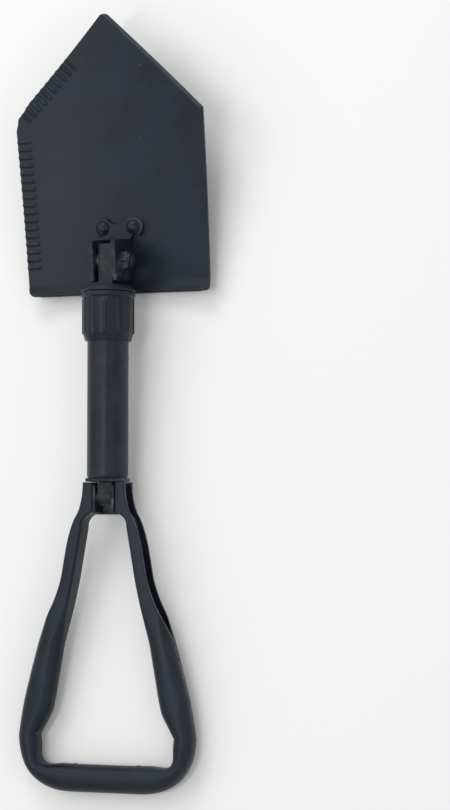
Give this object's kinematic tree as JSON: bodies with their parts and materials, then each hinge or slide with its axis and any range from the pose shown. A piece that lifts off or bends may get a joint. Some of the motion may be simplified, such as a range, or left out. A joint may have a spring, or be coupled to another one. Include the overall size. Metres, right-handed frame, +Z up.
{
  "type": "folding camp shovel",
  "caption": "Tri-fold entrenching shovel: pointed pressed blade, hinged tubular shaft with a screw lock collar and a folding D-handle.",
  "frame": {"origin": "on the floor, at the middle of the open tool's length and width", "axes": "+X across the tool along the hinge pins, +Y along the tool from grip to blade tip, +Z up out of the blade's hollow face; it lies open on its heel and grip"},
  "size_m": [0.156, 0.5964, 0.0599],
  "materials": {
    "blade_coat": "satin black powder coat on steel",
    "bracket_coat": "satin black powder coat on steel",
    "fastener_coat": "semi-gloss black coat on steel",
    "spine_steel": "blackened steel",
    "tube_coat": "satin black powder coat on steel",
    "collar_alloy": "satin black powder coat on a cast collar",
    "handle_coat": "satin black powder coat on steel",
    "nylon": "nylon locking ring",
    "bare_steel": "oiled steel"
  },
  "bodies": {
    "blade_set": {"blade": "blade_coat", "hinge_bracket": "bracket_coat", "bracket_rivets": "fastener_coat", "hinge_bolt": "fastener_coat", "hinge_head_washer": "fastener_coat", "hinge_washer": "fastener_coat", "hinge_nut": "fastener_coat", "nut_insert": "nylon", "hinge_spacers": "bare_steel"},
    "spine": {"spine_bar": "spine_steel", "collar_thrust_ring": "collar_alloy"},
    "tube": {"shaft_tube": "tube_coat", "thread_sleeve": "bare_steel", "lock_plate": "fastener_coat"},
    "collar": {"lock_collar": "collar_alloy"},
    "handle": {"handle_frame": "handle_coat", "handle_rivet": "fastener_coat", "handle_rivet_washers": "bare_steel"}
  },
  "joints": [
    {"name": "blade_hinge", "type": "hinge", "parent": "blade_set", "child": "spine", "pos_m": [0, 0.10821, 0.03516], "axis": [-1, 0, 0], "range_deg": [0, 171]},
    {"name": "handle_hinge", "type": "hinge", "parent": "spine", "child": "handle", "pos_m": [0, -0.07363, 0.02366], "axis": [-1, 0, 0], "range_deg": [0, 180]},
    {"name": "collar_turn", "type": "hinge", "parent": "spine", "child": "collar", "pos_m": [0, 0.06829, 0.03263], "axis": [0, 0.998, 0.0631], "range_deg": [0, 720]},
    {"name": "tube_slide", "type": "slide", "parent": "spine", "child": "tube", "axis": [0, 0.998, 0.0631], "range_m": [0, 0.008]}
  ],
  "couplings": [
    {"joint": "tube_slide", "follows": "handle_hinge", "m_per_rad": 0.00254}
  ]
}
